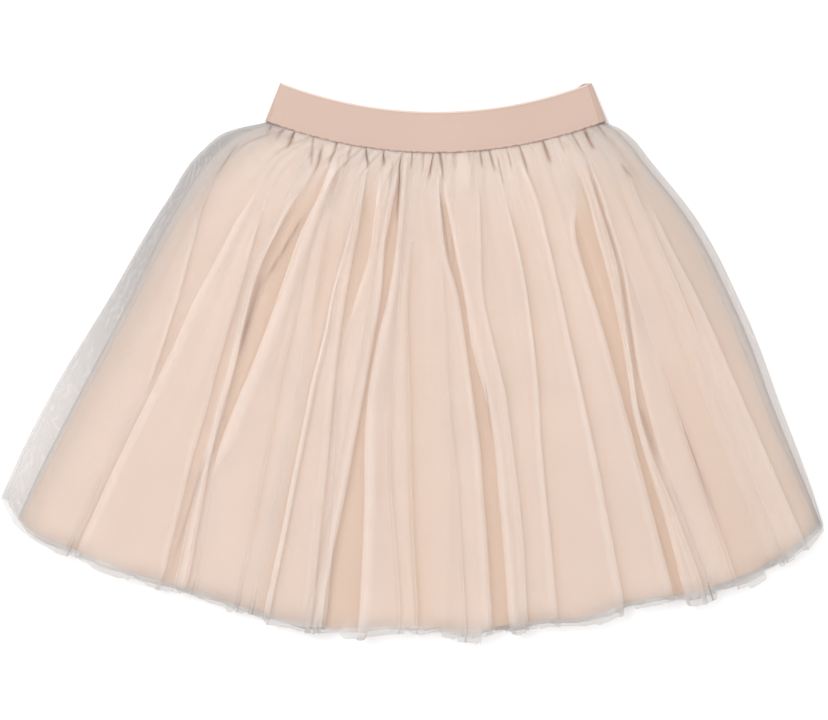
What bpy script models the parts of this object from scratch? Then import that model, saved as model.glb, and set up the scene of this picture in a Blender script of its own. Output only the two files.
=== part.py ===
"""A child's gathered tulle skirt, laid flat on a table with its front up.

Metres, +Z up, +Y towards the waistband. The elastic and the cloth below it lie as a fan round one point,
so every piece is drawn by an angle round that point and by a share of the skirt's length below the seam.
From the table up: outer tulle back, inner tulle back, lining back, lining front, inner tulle front,
outer tulle front, with the waistband's flattened loop butted to all of them along the seam.
"""

import math

import bmesh
import bpy

# The elastic, as it lies relaxed and bent into an arc.
BAND_WIDTH = 0.030
BAND_TOP_RADIUS = 0.3146
BAND_HALF_ANGLE = 21.3
BAND_WALL = 0.0013
BAND_TOP_HEIGHT = 0.0032
BAND_SEAM_HEIGHT = 0.0064
BAND_ROWS = 3
BAND_FACE_COLUMNS = 20
BAND_TURN_COLUMNS = 6

# The cloth, measured down from the seam.
SEAM_RADIUS = BAND_TOP_RADIUS + BAND_WIDTH
SKIRT_LENGTH = 0.352
FAN_CENTRE = (0.01474, 0.49741)

# The stack of cloths. A front wall is thicker than a back one, because it also stands on a slope.
GAP = 0.0003
FLAT_WALL = 0.0010
FOLDED_WALL = 0.0014
PITCH = FLAT_WALL + GAP
LINING_RELIEF = 0.0030
PUFF_END = 0.14

# Side outlines: the angle, in degrees from straight down, at these shares of the length.
OUTLINE_STATIONS = (0.0, 0.05, 0.10, 0.20, 0.40, 0.70, 1.0)
OUTLINES = {
    # piece: (left side, right side)
    "outer": (
        (-21.1, -24.3, -26.5, -27.4, -27.9, -28.1, -27.7),
        (21.1, 22.9, 24.1, 25.6, 26.1, 25.2, 24.9),
    ),
    "inner": (
        (-20.9, -23.6, -25.3, -26.3, -26.6, -26.7, -26.8),
        (20.9, 22.4, 23.6, 24.8, 25.5, 25.0, 24.7),
    ),
    "lining": (
        (-19.6, -21.6, -23.2, -24.8, -25.5, -26.0, -26.2),
        (19.6, 21.0, 22.2, 23.2, 23.9, 24.2, 24.2),
    ),
}

# The uneven hem: how much longer or shorter the cloth hangs, as a share of the length, at these angles.
HEM_ANGLES = (-27.8, -26.4, -22.0, -15.0, -7.5, -1.0, 2.2, 5.5, 9.0, 12.5, 16.5, 20.0, 22.5, 24.9)
HEM_DROPS = (
    -0.052, -0.022, -0.011, -0.010, 0.011, -0.004, 0.016,
    -0.001, 0.005, -0.010, 0.009, 0.004, -0.015, -0.048,
)
HEM_REACH = 4

# The main pleats of both tulles, left to right: each side's angle at four shares of the length, and the lift.
PLEAT_STATIONS = (0.0, 0.10, 0.30, 0.60, 0.95)
PLEATS = (
    # left side's angles, right side's angles, lift in metres
    ((-25.3, -26.5, -26.6, -26.9), (-24.3, -23.1, -21.7, -22.0), 0.0060),
    ((-20.4, -21.0, -21.6, -21.8), (-17.9, -17.8, -17.5, -16.8), 0.0080),
    ((-17.6, -17.5, -17.2, -16.6), (-14.4, -16.3, -16.1, -15.6), 0.0060),
    ((-12.9, -14.6, -15.4, -15.4), (-11.2, -11.6, -12.4, -12.2), 0.0090),
    ((-11.0, -11.4, -12.2, -12.0), (-9.3, -9.9, -10.3, -10.6), 0.0055),
    ((-9.1, -9.7, -10.2, -10.5), (-8.0, -8.2, -8.2, -7.8), 0.0085),
    ((-6.6, -7.3, -8.0, -7.6), (-5.4, -5.0, -6.1, -6.8), 0.0060),
    ((-4.0, -4.5, -5.3, -4.8), (-2.4, -2.6, -2.5, -2.0), 0.0085),
    ((-1.9, -1.9, -1.6, -0.8), (0.4, 1.0, 3.1, 3.3), 0.0070),
    ((1.5, 2.0, 4.0, 4.4), (4.8, 4.3, 5.5, 5.7), 0.0075),
    ((6.3, 5.2, 5.8, 5.8), (7.6, 8.4, 8.0, 7.4), 0.0070),
    ((9.2, 9.2, 8.3, 7.6), (10.8, 11.4, 11.6, 11.4), 0.0090),
    ((11.1, 11.7, 11.8, 11.6), (14.1, 14.2, 14.5, 14.5), 0.0060),
    ((15.9, 15.7, 15.1, 15.1), (16.8, 16.5, 15.8, 16.3), 0.0050),
    ((17.3, 17.0, 16.2, 16.5), (19.6, 18.9, 18.3, 18.2), 0.0070),
    ((20.0, 19.6, 18.6, 18.5), (21.3, 21.5, 20.6, 20.6), 0.0060),
    ((21.6, 21.8, 20.9, 20.9), (22.4, 22.8, 23.0, 23.0), 0.0065),
    ((22.7, 23.1, 23.3, 23.2), (23.6, 25.2, 25.1, 24.6), 0.0055),
)
LEAST_VALLEY = 0.16
CREST_SHARES = (0.30, 0.70)
TULLE_ROWS = (0.0, 0.03, 0.07, 0.14, 0.24, 0.38, 0.55, 0.75, 0.985)
OUTER_HEM = 1.0
INNER_HEM = 0.985
LINING_HEM = 0.972
BACK_HEM = 0.997

# The lining's broad folds: the crest's angle at the seam and at the hem, and the share of LINING_RELIEF.
LINING_FOLDS = (
    (-17.0, -22.5, 0.7),
    (-13.5, -18.3, 1.0),
    (-10.2, -13.4, 0.8),
    (-6.6, -9.2, 1.0),
    (-3.4, -5.4, 0.6),
    (0.6, 0.8, 1.0),
    (4.6, 5.2, 0.8),
    (8.0, 9.6, 1.0),
    (11.4, 13.0, 0.7),
    (15.0, 18.0, 0.9),
    (17.6, 21.6, 0.7),
)
FOLD_HALF_WIDTH = 1.7
LINING_COLUMNS = 40
LINING_ROWS = 6
BACK_COLUMNS = 22
BACK_ROWS = 6

TULLE_COLOUR = (0.80, 0.72, 0.69, 1.0)
LINING_COLOUR = (0.83, 0.63, 0.53, 1.0)
ELASTIC_COLOUR = (0.74, 0.55, 0.47, 1.0)


def clear_scene():
    for obj in list(bpy.data.objects):
        bpy.data.objects.remove(obj, do_unlink=True)


def material(name, colour, roughness):
    made = bpy.data.materials.new(name)
    made.use_nodes = True
    shader = made.node_tree.nodes["Principled BSDF"]
    shader.inputs["Base Color"].default_value = colour
    shader.inputs["Roughness"].default_value = roughness
    shader.inputs["Metallic"].default_value = 0.0
    return made


def mix(low, high, share):
    return low + (high - low) * share


def eased(share):
    """0 to 1 with level ends."""
    share = min(max(share, 0.0), 1.0)
    return share * share * (3 - 2 * share)


def through(stations, values, place):
    """A smooth curve through the values that stand at the stations."""
    if place <= stations[0]:
        return values[0]
    if place >= stations[-1]:
        return values[-1]
    i = next(k for k in range(len(stations) - 1) if place <= stations[k + 1])
    slopes = [(b - a) / (t - s) for a, b, s, t in zip(values, values[1:], stations, stations[1:])]
    before = slopes[max(i - 1, 0)]
    after = slopes[min(i + 1, len(slopes) - 1)]
    start, end = (before + slopes[i]) / 2, (slopes[i] + after) / 2
    width = stations[i + 1] - stations[i]
    t = (place - stations[i]) / width
    return (
        (2 * t**3 - 3 * t**2 + 1) * values[i]
        + (t**3 - 2 * t**2 + t) * width * start
        + (3 * t**2 - 2 * t**3) * values[i + 1]
        + (t**3 - t**2) * width * end
    )


def fan_point(angle, radius, height):
    turn = math.radians(angle)
    return (
        FAN_CENTRE[0] + radius * math.sin(turn),
        FAN_CENTRE[1] - radius * math.cos(turn),
        height,
    )


def radius_at(share, angle):
    """The radius at a share of the skirt's length, with the seam's gap above and the uneven hem below."""
    drop = through(HEM_ANGLES, HEM_DROPS, angle) * share**HEM_REACH
    return SEAM_RADIUS + GAP + (share + drop) * (SKIRT_LENGTH - GAP)


def side(piece, which, share):
    return through(OUTLINE_STATIONS, OUTLINES[piece][which], share)


def at_seam(angle, share_of_side=3):
    """Where a pleat's side meets the seam: squeezed inwards, and most so at the skirt's two sides."""
    which = 0 if angle < 0 else 1
    widest = side("inner", which, 0.10)
    squeeze = 1 - side("inner", which, 0.0) / widest
    return angle * (1 - squeeze * abs(angle / widest) ** share_of_side)


def pleat_side(angles, share):
    return through(PLEAT_STATIONS, (at_seam(angles[0]), *angles), share)


def pleat_columns(share):
    """(angle, how far up its pleat) for each column of a folded front at one share of the length."""
    edges = []
    for left, right, lift in PLEATS:
        edges.append([pleat_side(left, share), pleat_side(right, share), lift])
    edges[0][0] = side("inner", 0, share)
    edges[-1][1] = side("inner", 1, share)
    for first, second in zip(edges, edges[1:]):
        middle = (first[1] + second[0]) / 2
        first[1] = min(first[1], middle - LEAST_VALLEY / 2)
        second[0] = max(second[0], middle + LEAST_VALLEY / 2)
    columns = []
    for left, right, lift in edges:
        columns.append((left, 0.0))
        columns += [(mix(left, right, crest), lift) for crest in CREST_SHARES]
        columns.append((right, 0.0))
    return columns


def puff(share):
    """How far the folds have opened below the seam."""
    return eased(share / PUFF_END)


def inner_floor(share):
    """The underside of the inner tulle front between its pleats, clear of the lining's folds."""
    return 4 * PITCH + (LINING_RELIEF + FOLDED_WALL - FLAT_WALL) * puff(share)


def folded_wall(share):
    return mix(FLAT_WALL, FOLDED_WALL, puff(share))


def inner_front_row(share):
    """The underside of the inner tulle front across the skirt: (angle, height) for each column."""
    floor = inner_floor(share)
    row = [(angle, floor + lift * puff(share)) for angle, lift in pleat_columns(share)]
    row[0] = (row[0][0], 2 * PITCH)
    row[-1] = (row[-1][0], 2 * PITCH)
    return row


def outer_front_row(share):
    """The same columns one cloth higher, and the two sides brought down to the outer back."""
    within = min(share, INNER_HEM)
    rise = folded_wall(within) + GAP
    row = [(angle, height + rise) for angle, height in inner_front_row(share)]
    return [(side("outer", 0, share), PITCH), *row, (side("outer", 1, share), PITCH)]


def lining_front_row(share):
    left, right = side("lining", 0, share), side("lining", 1, share)
    row = []
    for i in range(LINING_COLUMNS + 1):
        angle = mix(left, right, i / LINING_COLUMNS)
        relief = 0.0
        for seam_angle, hem_angle, size in LINING_FOLDS:
            away = (angle - mix(seam_angle, hem_angle, share)) / FOLD_HALF_WIDTH
            relief = max(relief, size * math.exp(-away * away))
        level = 0.0 if i in (0, LINING_COLUMNS) else relief
        row.append((angle, 3 * PITCH + LINING_RELIEF * level * puff(share)))
    return row


def flat_row(piece, height, share):
    left, right = side(piece, 0, min(share, 1.0)), side(piece, 1, min(share, 1.0))
    return [(mix(left, right, i / BACK_COLUMNS), height) for i in range(BACK_COLUMNS + 1)]


def cloth_wall(name, finish, shares, row_of, wall_of):
    """A closed wall: a grid laid along the rows, then extruded straight up by the wall at each row."""
    rows = [row_of(share) for share in shares]
    mesh = bpy.data.meshes.new(name)
    bm = bmesh.new()
    made = bmesh.ops.create_grid(bm, x_segments=len(rows[0]) - 1, y_segments=len(rows) - 1, size=0.5)
    walls = {}
    for vert in made["verts"]:
        column = round((vert.co.x + 0.5) * (len(rows[0]) - 1))
        line = round((0.5 - vert.co.y) * (len(rows) - 1))
        angle, height = rows[line][column]
        vert.co = fan_point(angle, radius_at(shares[line], angle), height)
        walls[vert.co.copy().freeze()] = wall_of(shares[line])
    bmesh.ops.triangulate(bm, faces=bm.faces[:], quad_method="FIXED")
    raised = bmesh.ops.extrude_face_region(bm, geom=bm.faces[:])
    for vert in raised["geom"]:
        if isinstance(vert, bmesh.types.BMVert):
            vert.co.z += walls[vert.co.copy().freeze()]
    bmesh.ops.recalc_face_normals(bm, faces=bm.faces[:])
    bm.to_mesh(mesh)
    bm.free()
    obj = bpy.data.objects.new(name, mesh)
    mesh.materials.append(finish)
    bpy.context.scene.collection.objects.link(obj)
    return obj


def even_shares(last, rows):
    return [last * i / rows for i in range(rows + 1)]


def band_section(share):
    """The flattened loop's middle line at a share of the band's width, as (angle, height), all round."""
    top = mix(BAND_TOP_HEIGHT, BAND_SEAM_HEIGHT, eased(share)) - BAND_WALL / 2
    bottom = BAND_WALL / 2
    radius = BAND_TOP_RADIUS + share * BAND_WIDTH
    reach = (top - bottom) / 2
    end = BAND_HALF_ANGLE - math.degrees((reach + BAND_WALL / 2) / radius)
    middle = (top + bottom) / 2
    line = [(mix(-end, end, i / BAND_FACE_COLUMNS), top) for i in range(BAND_FACE_COLUMNS)]
    for i in range(BAND_TURN_COLUMNS):
        turn = math.pi * i / BAND_TURN_COLUMNS
        line.append((end + math.degrees(reach * math.sin(turn) / radius), middle + reach * math.cos(turn)))
    line += [(mix(end, -end, i / BAND_FACE_COLUMNS), bottom) for i in range(BAND_FACE_COLUMNS)]
    for i in range(BAND_TURN_COLUMNS):
        turn = math.pi * i / BAND_TURN_COLUMNS
        bulge = math.degrees(reach * math.sin(turn) / radius)
        line.append((-end - bulge, middle - reach * math.cos(turn)))
    return [*line, line[0]]


def waistband(finish):
    """The elastic: a grid wrapped round the flattened loop, closed where its ends meet, then given its wall."""
    sections = [band_section(i / BAND_ROWS) for i in range(BAND_ROWS + 1)]
    columns = len(sections[0]) - 1
    mesh = bpy.data.meshes.new("waistband")
    bm = bmesh.new()
    made = bmesh.ops.create_grid(bm, x_segments=columns, y_segments=BAND_ROWS, size=0.5)
    for vert in made["verts"]:
        column = round((vert.co.x + 0.5) * columns)
        line = round((0.5 - vert.co.y) * BAND_ROWS)
        angle, height = sections[line][column]
        vert.co = fan_point(angle, BAND_TOP_RADIUS + line / BAND_ROWS * BAND_WIDTH, height)
    bmesh.ops.remove_doubles(bm, verts=bm.verts[:], dist=1e-6)
    bmesh.ops.recalc_face_normals(bm, faces=bm.faces[:])
    bm.to_mesh(mesh)
    bm.free()
    obj = bpy.data.objects.new("waistband", mesh)
    mesh.materials.append(finish)
    bpy.context.scene.collection.objects.link(obj)
    wall = obj.modifiers.new("wall", "SOLIDIFY")
    wall.thickness = BAND_WALL
    wall.offset = 0.0
    wall.use_even_offset = True
    return obj


def main():
    clear_scene()
    tulle = material("tulle", TULLE_COLOUR, 0.85)
    lining = material("lining", LINING_COLOUR, 0.60)
    elastic = material("elastic", ELASTIC_COLOUR, 0.55)
    flat = lambda share: FLAT_WALL

    waistband(elastic)
    back_shares = even_shares(BACK_HEM, BACK_ROWS)
    cloth_wall("tulle_outer_back", tulle, back_shares, lambda s: flat_row("outer", 0.0, s), flat)
    inner_shares = even_shares(INNER_HEM, BACK_ROWS)
    cloth_wall("tulle_inner_back", tulle, inner_shares, lambda s: flat_row("inner", PITCH, s), flat)
    lining_shares = even_shares(LINING_HEM, BACK_ROWS)
    cloth_wall("lining_back", lining, lining_shares, lambda s: flat_row("lining", 2 * PITCH, s), flat)
    front_shares = even_shares(LINING_HEM, LINING_ROWS)
    cloth_wall("lining_front", lining, front_shares, lining_front_row, flat)
    cloth_wall("tulle_inner_front", tulle, TULLE_ROWS, inner_front_row, folded_wall)
    cloth_wall("tulle_outer_front", tulle, (*TULLE_ROWS, OUTER_HEM), outer_front_row, folded_wall)


main()
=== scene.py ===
# %% [markdown]
# # A child's tulle skirt, laid flat
#
# The skirt lies on a table with its front up. It has a wide elastic waistband, two gathered tubes of very
# sheer net over each other, and an opaque peach lining inside them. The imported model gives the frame: its
# box, and one plain solid for each panel of cloth. Here each panel becomes a thin sheet with its own folds.

import math

import bmesh
import bpy
import numpy as np
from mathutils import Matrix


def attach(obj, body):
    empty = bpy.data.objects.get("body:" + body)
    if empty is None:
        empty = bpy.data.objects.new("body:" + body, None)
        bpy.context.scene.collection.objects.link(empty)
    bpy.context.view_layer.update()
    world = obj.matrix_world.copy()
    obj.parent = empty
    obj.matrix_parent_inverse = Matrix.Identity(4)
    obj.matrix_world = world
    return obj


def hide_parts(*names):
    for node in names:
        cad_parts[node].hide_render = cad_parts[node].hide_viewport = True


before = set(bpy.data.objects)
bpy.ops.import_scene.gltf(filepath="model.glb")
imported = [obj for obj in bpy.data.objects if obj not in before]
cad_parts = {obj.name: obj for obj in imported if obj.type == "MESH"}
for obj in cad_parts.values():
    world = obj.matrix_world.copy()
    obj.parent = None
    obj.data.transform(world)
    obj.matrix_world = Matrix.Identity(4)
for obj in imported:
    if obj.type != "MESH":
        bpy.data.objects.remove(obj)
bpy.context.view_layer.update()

# %% [markdown]
# The elastic is bent into an arc, and the cloth hangs from it like a fan. So every point is stated by an
# angle from straight down and by a share of the skirt's length below the seam. One function turns that pair
# into metres. The hem is not an arc: it hangs a little lower or higher from place to place, so the function
# stretches the last part of the length by a short table.

# %% The fan's sizes
BAND_WIDTH = 0.030
BAND_TOP_RADIUS = 0.3146
BAND_HALF_ANGLE = 21.3
SEAM_RADIUS = BAND_TOP_RADIUS + BAND_WIDTH
SKIRT_LENGTH = 0.352
FAN_CENTRE = (0.01474, 0.49741)

HEM_LINE = (
    # angle, how much lower the hem hangs there, as a share of the length
    (-27.8, -0.052),
    (-26.4, -0.022),
    (-22.0, -0.011),
    (-15.0, -0.010),
    (-7.5, 0.011),
    (-1.0, -0.004),
    (2.2, 0.008),
    (5.5, -0.001),
    (9.0, 0.003),
    (12.5, -0.010),
    (16.5, 0.007),
    (20.0, 0.003),
    (22.5, -0.015),
    (24.9, -0.048),
)
HEM_ANGLES, HEM_DROPS = zip(*HEM_LINE)
print("seam arc in mm:", round(2000 * SEAM_RADIUS * math.radians(BAND_HALF_ANGLE)))

# %% [markdown]
# Short tables state how things change along the skirt, and a smooth curve fills in between their rows. Each
# stretch is a cubic with the slope of its neighbours, so there are no corners. A second small function eases
# a share from 0 to 1, which is how every fold, gather and shade here begins and ends.

# %% Smooth curves and the way from angle and share to metres
def cubic(t, start, out, end, into):
    """The smooth way from start to end that leaves along out and arrives along into."""
    at_ends = (1 + 2 * t) * (1 - t) ** 2 * start + t**2 * (3 - 2 * t) * end
    return at_ends + t * (1 - t) ** 2 * out + t**2 * (t - 1) * into


def through(stations, values, places):
    """A smooth curve through values at stations, read at places. values may have one column per fold."""
    stations = np.asarray(stations, float)
    values = np.asarray(values, float)
    places = np.asarray(places, float)
    slopes = np.gradient(values, stations, axis=0)
    i = np.clip(np.searchsorted(stations, places) - 1, 0, len(stations) - 2)
    gap = stations[i + 1] - stations[i]
    t = np.clip((places - stations[i]) / gap, 0, 1)
    if values.ndim == 2:
        gap, t = gap[..., None], t[..., None]
    return cubic(t, values[i], gap * slopes[i], values[i + 1], gap * slopes[i + 1])


def eased(share):
    """0 to 1 with level ends."""
    share = np.clip(share, 0, 1)
    return share * share * (3 - 2 * share)


def fan_radius(angle, share):
    """The radius at a share of the length, where the hem's drop comes in over the last part."""
    drop = through(HEM_ANGLES, HEM_DROPS, angle) * np.clip(share, 0, None) ** 4
    return SEAM_RADIUS + (share + drop) * SKIRT_LENGTH


def fan_point(angle, radius, height):
    """The place in metres, measured on the table from the skirt's middle."""
    turn = np.radians(angle)
    across = FAN_CENTRE[0] + radius * np.sin(turn)
    up = FAN_CENTRE[1] - radius * np.cos(turn)
    return np.stack([across, up, height], -1)


print("bottom of the hem in m:", [round(float(v), 4) for v in fan_point(0.0, fan_radius(0.0, 1.0), 0.0)])

# %% [markdown]
# A camera straight above sees the skirt as it lies. A long lens from a metre and a half away keeps the
# perspective mild, so the folds near the rim are seen from almost straight above too.

# %% Camera
VIEW_WIDTH = 0.6044
VIEW_CENTRE = (-0.0013, 0.0010)
LENS_MM = 85.0
SENSOR_MM = 36.0
CLOTH_LEVEL = 0.010

camera_data = bpy.data.cameras.new("camera")
camera_data.lens = LENS_MM
camera_data.sensor_width = SENSOR_MM
camera = bpy.data.objects.new("camera", camera_data)
camera.location = (*VIEW_CENTRE, CLOTH_LEVEL + VIEW_WIDTH * LENS_MM / SENSOR_MM)
bpy.context.scene.collection.objects.link(camera)
bpy.context.scene.camera = camera
print("camera height in m:", round(camera.location.z, 3))

# %% [markdown]
# Sheer net shows its folds only in soft, even light. A bright sky all round does most of it. One wide lamp
# from the upper left makes one side of each fold a little brighter.

# %% Light
SKY_STRENGTH = 1.02
LAMP_PLACE = (-0.95, 0.9, 1.65)
LAMP_SIZE = 0.9
LAMP_POWER = 17.8


def area_lamp(name, place, size, power):
    """A square lamp that looks at the skirt's middle."""
    data = bpy.data.lights.new(name, "AREA")
    data.size = size
    data.energy = power
    lamp = bpy.data.objects.new(name, data)
    lamp.location = place
    lamp.rotation_euler = lamp.location.to_track_quat("Z", "Y").to_euler()
    bpy.context.scene.collection.objects.link(lamp)
    return lamp


world = bpy.data.worlds.new("soft_sky")
world.use_nodes = True
sky = world.node_tree.nodes["Background"]
sky.inputs["Color"].default_value = (1.0, 0.995, 0.99, 1)
sky.inputs["Strength"].default_value = SKY_STRENGTH
bpy.context.scene.world = world
area_lamp("wide_lamp", LAMP_PLACE, LAMP_SIZE, LAMP_POWER)
bpy.context.scene.view_settings.view_transform = "Standard"
bpy.context.scene.cycles.transparent_max_bounces = 40
bpy.context.scene.cycles.use_denoising = True
print("sky strength and lamp watts:", SKY_STRENGTH, LAMP_POWER)

# %% [markdown]
# The table is one plain square, white like thick paper. It lies a little below the cloth, so that no sheet
# shares its level, which would show as flicker.

# %% Floor
FLOOR_SIZE = 3.0
FLOOR_GAP = 0.0004
FLOOR_COLOUR = (0.96, 0.96, 0.96, 1)

floor_mesh = bpy.data.meshes.new("floor")
bm = bmesh.new()
bmesh.ops.create_grid(bm, x_segments=1, y_segments=1, size=FLOOR_SIZE)
bmesh.ops.translate(bm, verts=bm.verts, vec=(0, 0, -FLOOR_GAP))
bm.to_mesh(floor_mesh)
bm.free()
floor = bpy.data.objects.new("floor", floor_mesh)
bpy.context.scene.collection.objects.link(floor)
paper = bpy.data.materials.new("floor_paper")
paper.use_nodes = True
paper_shader = paper.node_tree.nodes["Principled BSDF"]
paper_shader.inputs["Base Color"].default_value = FLOOR_COLOUR
paper_shader.inputs["Roughness"].default_value = 0.9
floor_mesh.materials.append(paper)
print("floor below the cloth by mm:", FLOOR_GAP * 1000)

# %% [markdown]
# A sheet of cloth starts as a flat grid and every point of the grid is then moved to its place. The grid's
# UV map is made from the finished shape: along each row it counts the cloth's own length, folds included,
# so the net keeps its real hole size where the cloth is slack and closes up where the waist gathers it.

# %% A sheet of cloth from a grid
def cloth_sheet(name, places, values, faces_down=False):
    """places: (rows, columns, 3) in metres, seam first. values: (rows, columns) by name, from 0 to 1."""
    rows, columns = places.shape[:2]
    bm = bmesh.new()
    bmesh.ops.create_grid(bm, x_segments=columns - 1, y_segments=rows - 1, size=0.5)
    if faces_down:
        bmesh.ops.reverse_faces(bm, faces=bm.faces[:])
    for face in bm.faces:
        face.smooth = True
    mesh = bpy.data.meshes.new(name)
    bm.to_mesh(mesh)
    bm.free()
    flat = np.empty(len(mesh.vertices) * 3, np.float32)
    mesh.vertices.foreach_get("co", flat)
    flat = flat.reshape(-1, 3)
    column = np.rint((flat[:, 0] + 0.5) * (columns - 1)).astype(int)
    row = np.rint((0.5 - flat[:, 1]) * (rows - 1)).astype(int)
    mesh.vertices.foreach_set("co", places[row, column].astype(np.float32).ravel())
    for label, table in values.items():
        kept = mesh.attributes.new(label, "FLOAT", "POINT")
        kept.data.foreach_set("value", np.clip(table, 0, 1)[row, column].astype(np.float32))
    lengths = np.zeros((rows, columns))
    lengths[:, 1:] = np.cumsum(np.linalg.norm(np.diff(places, axis=1), axis=2), axis=1)
    width = lengths[-rows // 4 :, -1].mean()
    down = np.zeros((rows, columns))
    down[1:] = np.cumsum(np.linalg.norm(np.diff(places, axis=0), axis=2).mean(axis=1))[:, None]
    cloth = np.stack([lengths / lengths[:, -1:] * width, down], -1)
    corner = np.empty(len(mesh.loops), np.int32)
    mesh.loops.foreach_get("vertex_index", corner)
    cloth_map = mesh.uv_layers.new(name="cloth")
    cloth_map.data.foreach_set("uv", cloth[row, column][corner].astype(np.float32).ravel())
    piece = bpy.data.objects.new(name, mesh)
    bpy.context.scene.collection.objects.link(piece)
    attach(piece, "root")
    print(name, "cut width in mm:", round(width * 1000), "triangles:", 2 * len(mesh.polygons))
    return piece, (float(width), float(down[-1, 0]))


# %% [markdown]
# A fold in gathered net is a ridge that has leant over its neighbour: one crisp edge, and under that edge
# the cloth runs back a little way before it goes on. It could be simulated, but then no fold would lie where
# it does on this skirt. So the table states where each crisp edge lies and which way it leans.

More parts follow.
